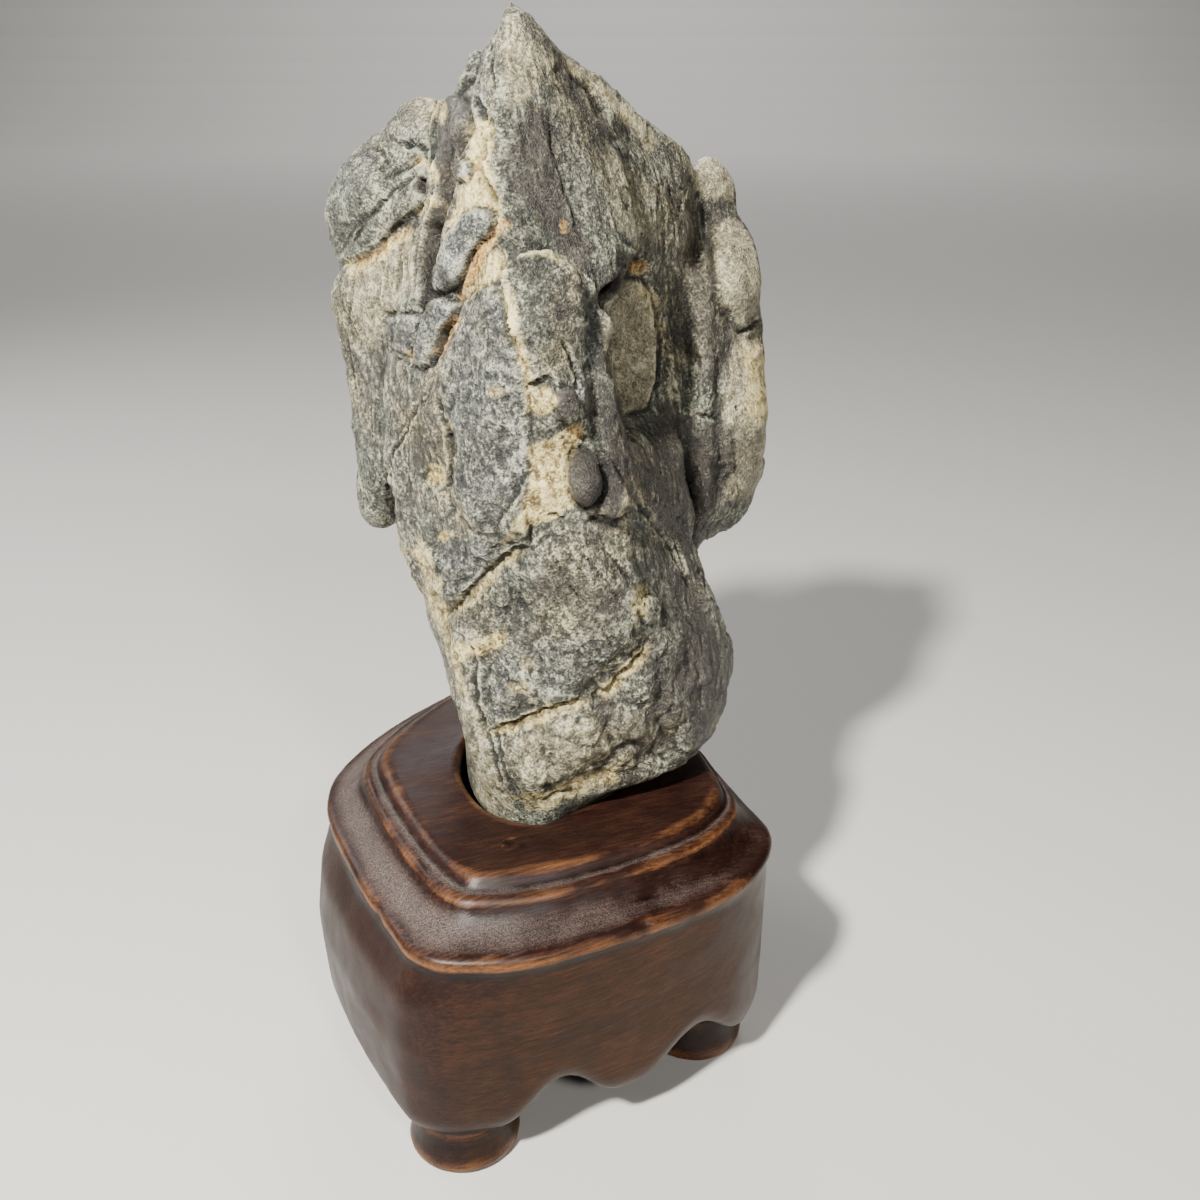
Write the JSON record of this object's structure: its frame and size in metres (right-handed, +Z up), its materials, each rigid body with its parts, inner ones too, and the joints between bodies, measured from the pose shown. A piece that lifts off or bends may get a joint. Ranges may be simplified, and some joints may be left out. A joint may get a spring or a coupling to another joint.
{
  "type": "scholar's rock on a carved wooden stand",
  "caption": "Upright weathered grey viewing stone with a pointed crest, side wings and a scooped hollow, standing in the socket of a low carved hardwood stand on round feet.",
  "frame": {"origin": "centre of the whole object's box, on the surface it stands on", "axes": "+Z up; -Y towards the pointed near corner of the stand, which is the front; +X to the viewer's right"},
  "size_m": [0.0962, 0.1126, 0.2026],
  "materials": {
    "stone": "natural weathered stone, dull with a faint wet sheen on the dark leaves and pale ochre crust in the seams",
    "hardwood": "dark oiled hardwood, satin, worn orange-brown on the edges, dusty in the mouldings"
  },
  "bodies": {
    "root": {"rock": "stone", "stand": "hardwood"}
  },
  "joints": []
}
